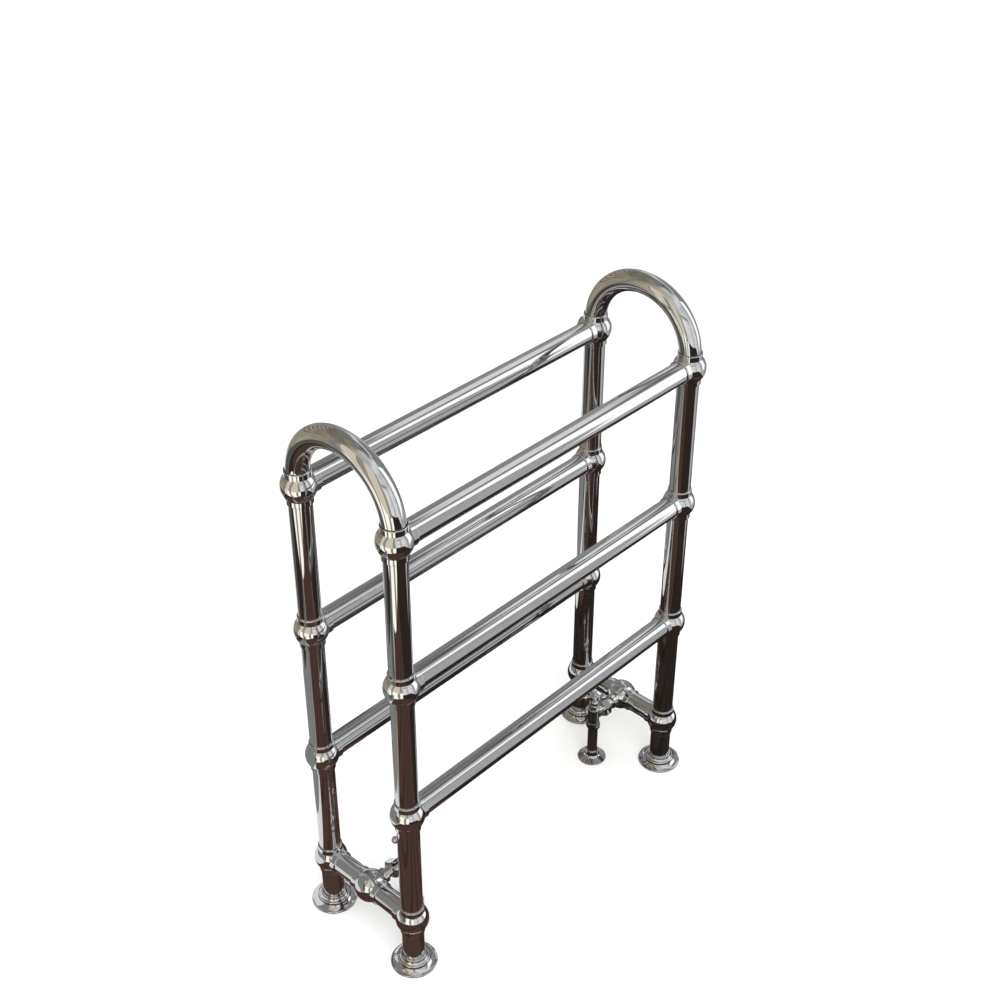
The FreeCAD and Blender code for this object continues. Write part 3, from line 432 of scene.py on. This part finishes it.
def panel_share(tree, way, facing, edges, soft):
    """1 inside a rectangle on a plane that faces the rack and 0 outside it."""
    azimuth, elevation, tilt = facing
    turned = add(tree, "ShaderNodeMapping", {"Vector": way, "Rotation": [
        math.radians(angle) for angle in (tilt, -elevation, azimuth)]}, vector_type="TEXTURE")
    axes = add(tree, "ShaderNodeSeparateXYZ", {0: turned.outputs[0]}).outputs
    outside = []
    for axis, (low, high) in zip("YZ", (edges[:2], edges[2:])):
        low, high = math.tan(math.radians(low)), math.tan(math.radians(high))
        slope = add(tree, "ShaderNodeMath", {0: axes[axis], 1: axes["X"]}, operation="DIVIDE").outputs[0]
        aside = add(tree, "ShaderNodeMath", {0: slope, 1: (low + high) / 2}, operation="SUBTRACT").outputs[0]
        aside = add(tree, "ShaderNodeMath", {0: aside}, operation="ABSOLUTE").outputs[0]
        beyond = add(tree, "ShaderNodeMath", {0: aside, 1: (high - low) / 2}, operation="SUBTRACT")
        outside.append(beyond.outputs[0])
    edge = add(tree, "ShaderNodeMath", {0: outside[0], 1: outside[1]}, operation="MAXIMUM").outputs[0]
    ahead = add(tree, "ShaderNodeMath", {0: axes["X"], 1: 0.0}, operation="GREATER_THAN").outputs[0]
    inside = soft_step(tree, edge, soft, -soft)
    return add(tree, "ShaderNodeMath", {0: inside, 1: ahead}, operation="MULTIPLY").outputs[0]


def room():
    """The world. The plate mirrors a grey room with a dark floor. All else sees a plain white studio."""
    world = bpy.data.worlds.new("room")
    bpy.context.scene.world = world
    world.use_nodes = True
    tree = world.node_tree
    tree.nodes.clear()
    way = add(tree, "ShaderNodeTexCoord").outputs["Generated"]
    clutter = add(tree, "ShaderNodeTexNoise", {"Vector": way, "Scale": 5.0, "Detail": 6.0,
                                               "Roughness": 0.62}).outputs["Fac"]
    axes = add(tree, "ShaderNodeSeparateXYZ", {0: way}).outputs
    turn = add(tree, "ShaderNodeMath", {0: axes["Y"], 1: axes["X"]}, operation="ARCTAN2").outputs[0]
    around = add(tree, "ShaderNodeMapRange", {"Value": turn, "From Min": -math.pi,
                                              "From Max": math.pi}).outputs[0]
    rise = add(tree, "ShaderNodeMath", {0: axes["Z"]}, operation="ARCSINE").outputs[0]
    height = add(tree, "ShaderNodeMath", {0: rise, 1: 180 / math.pi}, operation="MULTIPLY").outputs[0]

    colour = by_azimuth(tree, around, WALLS)
    ceiling = add(tree, "ShaderNodeVectorMath", {0: colour, "Scale": CEILING_SHARE},
                  operation="SCALE").outputs[0]
    colour = blended(tree, soft_step(tree, height, CEILING_FOOT, CEILING_TOP), colour, ceiling)
    mottle = add(tree, "ShaderNodeMapRange", {"Value": clutter, "From Min": 0.3, "From Max": 0.7,
                                              "To Min": 1 - MOTTLE, "To Max": 1 + MOTTLE}).outputs[0]
    colour = add(tree, "ShaderNodeVectorMath", {0: colour, "Scale": mottle}, operation="SCALE").outputs[0]
    slats = [(BLIND_AZIMUTH, BLIND_FOOT + BLIND_PITCH * number, BLIND_TILT, -SLAT_REACH, SLAT_REACH,
              -SLAT_THICKNESS, SLAT_THICKNESS, SLAT_EDGE, SLAT) for number in range(BLIND_SLATS)]
    for azimuth, elevation, tilt, left, right, low, high, soft, tone in (*PANELS, *slats):
        share = panel_share(tree, way, (azimuth, elevation, tilt), (left, right, low, high), soft)
        colour = blended(tree, share, colour, seen(tone))
    # a way down ends on the floor if it meets it inside all four edges
    aside = 0.0
    for axis, reaches in FLOOR_REACH.items():
        for reach in reaches:
            slope = add(tree, "ShaderNodeMath", {0: axes[axis], 1: FLOOR_BELOW / reach},
                        operation="MULTIPLY").outputs[0]
            aside = add(tree, "ShaderNodeMath", {0: aside, 1: slope}, operation="MAXIMUM").outputs[0]
    past = add(tree, "ShaderNodeMath", {0: aside, 1: axes["Z"]}, operation="ADD").outputs[0]
    warm = soft_step(tree, height, SHADED_FROM, WARM_FROM)
    boards = blended(tree, warm, seen(SHADED_LIGHT), seen(WALNUT_LIGHT))
    colour = blended(tree, soft_step(tree, past, FLOOR_EDGE, -FLOOR_EDGE), colour, boards)
    reflected = add(tree, "ShaderNodeBackground", {"Color": colour})
    studio = add(tree, "ShaderNodeBackground", {"Color": (1, 1, 1, 1), "Strength": STUDIO})
    path = add(tree, "ShaderNodeLightPath")
    both = add(tree, "ShaderNodeMixShader", {0: path.outputs["Is Glossy Ray"], 1: studio.outputs[0],
                                             2: reflected.outputs[0]})
    add(tree, "ShaderNodeOutputWorld", {"Surface": both.outputs[0]})


def screen(name, corners, colours, bars, across="Y"):
    """A lit board that only the plate reflects, with soft bars across it.

    colours are its bar's and its field's, and bars the bars' spacing in metres.
    """
    mesh = bpy.data.meshes.new(name)
    mesh.from_pydata(corners, [], [(0, 1, 2, 3)])
    board = bpy.data.objects.new(name, mesh)
    bpy.context.scene.collection.objects.link(board)
    material = bpy.data.materials.new(name + "_glow")
    material.use_nodes = True
    tree = material.node_tree
    tree.nodes.clear()
    place = add(tree, "ShaderNodeTexCoord").outputs["Object"]
    bands = add(tree, "ShaderNodeTexWave", {"Vector": place, "Scale": ONE_WAVE / bars, "Distortion": 3.0,
                                            "Detail": 3.0}, bands_direction=across)
    field = soft_step(tree, bands.outputs["Fac"], 0.12, 0.3)
    colour = blended(tree, field, *[seen(tone) for tone in colours])
    glow = add(tree, "ShaderNodeEmission", {"Color": colour})
    add(tree, "ShaderNodeOutputMaterial", {"Surface": glow.outputs[0]})
    mesh.materials.append(material)
    board.visible_camera = False
    board.visible_diffuse = False
    board.visible_transmission = False
    board.visible_shadow = False


def upright(start, end, bottom, top):
    """The corners of an upright board between two floor points."""
    return [(*start, bottom), (*end, bottom), (*end, top), (*start, top)]


def floor_boards(outline):
    """The corners of a stretch of floor from its outline, just under the studio floor."""
    return [(x, y, BOARD_DROP) for x, y in outline]


def room_near_by():
    """What stands so close that each post mirrors it differently: a sunlit doorway, a wall and the floor."""
    # points on the floor, in metres: both ends of the doorway's wall and of the wall behind, then the line
    # between the warm and the shaded floor
    door = (-0.93, -0.95), (-1.55, 0.88)
    wall = (-1.30, -0.19), (1.30, 0.85)
    front, back = (-0.05, -0.70), (-0.05, 0.31)
    far_front = (1.30, -0.30)
    screen("sunlit_doorway", upright(*door, 0.0, DOOR_TOP), (DUN, SUNLIT), 0.62)
    screen("cream_wall", upright(*door, DOOR_TOP, WALL_TOP), (DUN, CREAM), 0.8)
    screen("back_wall", upright(*wall, SKIRTING_TOP, SILL), (DARK, SHADE), 0.25)
    screen("back_skirting", upright(*wall, 0.0, SKIRTING_TOP), (DUN, PALE), 0.6)
    screen("warm_floor", floor_boards((wall[0], door[0], front, back)), (WALNUT_DARK, WALNUT_LIGHT),
           BOARD_PITCH, "X")
    screen("dark_floor", floor_boards((back, front, far_front, wall[1])), (SHADED_DARK, SHADED_LIGHT),
           BOARD_PITCH, "X")


def floor():
    """A plain pale studio floor, which the plate doesn't mirror."""
    mesh = bpy.data.meshes.new("studio_floor")
    reach, corners = 14.0, 64
    ring = [(reach * math.cos(2 * math.pi * n / corners), reach * math.sin(2 * math.pi * n / corners), 0)
            for n in range(corners)]
    mesh.from_pydata(ring, [], [tuple(range(corners))])
    piece = bpy.data.objects.new("studio_floor", mesh)
    bpy.context.scene.collection.objects.link(piece)
    material, tree, shader = new_material("matt_white_floor")
    shader.inputs["Base Color"].default_value = linear("#FBFBFA")
    shader.inputs["Roughness"].default_value = 0.9
    shader.inputs["Specular IOR Level"].default_value = 0.1
    mesh.materials.append(material)
    piece.visible_glossy = False


def looking(place, ahead):
    """The transform that puts a lamp or a camera at a place, looking ahead."""
    return Matrix.Translation(place) @ ahead.to_track_quat("-Z", "Y").to_matrix().to_4x4()


def soft_light(name, place, aim, size, power):
    """A large square softbox, kept out of the mirror-like plate."""
    light = bpy.data.lights.new(name, "AREA")
    light.shape = "SQUARE"
    light.size = size
    light.energy = power
    lamp = bpy.data.objects.new(name, light)
    lamp.matrix_world = looking(place, aim - place)
    lamp.visible_glossy = False
    bpy.context.scene.collection.objects.link(lamp)


CAMERA_AZIMUTH = 46.877      # degrees from +Y towards +X
CAMERA_FALL = 34.265         # degrees below the horizon
CAMERA_DISTANCE = 2.4359     # metres
CAMERA_AIM = 0.0657, 0.0729, 0.1443    # metres from the middle of the rack
CAMERA_LENS = 55.67          # millimetres, on a sensor 36 mm wide


def camera():
    """The camera: above the left front corner, looking down at the rack."""
    azimuth, fall = math.radians(CAMERA_AZIMUTH), math.radians(CAMERA_FALL)
    aim = (cad_box[0] + cad_box[1]) / 2 + Vector(CAMERA_AIM)
    ahead = Vector((math.sin(azimuth) * math.cos(fall), math.cos(azimuth) * math.cos(fall), -math.sin(fall)))
    data = bpy.data.cameras.new("camera")
    data.lens = CAMERA_LENS
    data.sensor_width = 36.0
    data.clip_end = 60.0
    eye = bpy.data.objects.new("camera", data)
    eye.matrix_world = looking(aim - CAMERA_DISTANCE * ahead, ahead)
    bpy.context.scene.collection.objects.link(eye)
    bpy.context.scene.camera = eye


# ---------------------------------------------------------------- build

# drawn tube has long shallow waves, a hot stamping short ones and turned brass almost none
tube_finish = chrome("chromed_drawn_tube", rough=0.012, dull=0.05, ripple=0.03 * MM, ripple_size=45 * MM,
                     grain_size=0.8 * MM)
stamped_finish = chrome("chromed_hot_stamping", rough=0.02, dull=0.06, ripple=0.02 * MM, ripple_size=9 * MM,
                        grain_size=0.6 * MM)
turned_finish = chrome("chromed_turned_brass", rough=0.018, dull=0.06, ripple=0.006 * MM, ripple_size=5 * MM,
                       grain_size=0.4 * MM)
finishes = {
    "chromed_tube": tube_finish,
    "chromed_casting": stamped_finish,
    "chromed_fitting": turned_finish,
    "bare_brass": turned_brass(),
    "rubber_seal": moulded_rubber(),
}
finish_cad_nodes(finishes)
posts(tube_finish)
rails(tube_finish)
arches(tube_finish)
cross_tubes(tube_finish)
pipe_sleeves(tube_finish)
room()
room_near_by()
floor()
soft_light("overhead_softbox", place=Vector((-1.2, -1.6, 3.0)), aim=Vector((0, 0, 0.4)), size=2.4, power=60.0)
camera()
bpy.context.scene.view_settings.view_transform = "Standard"
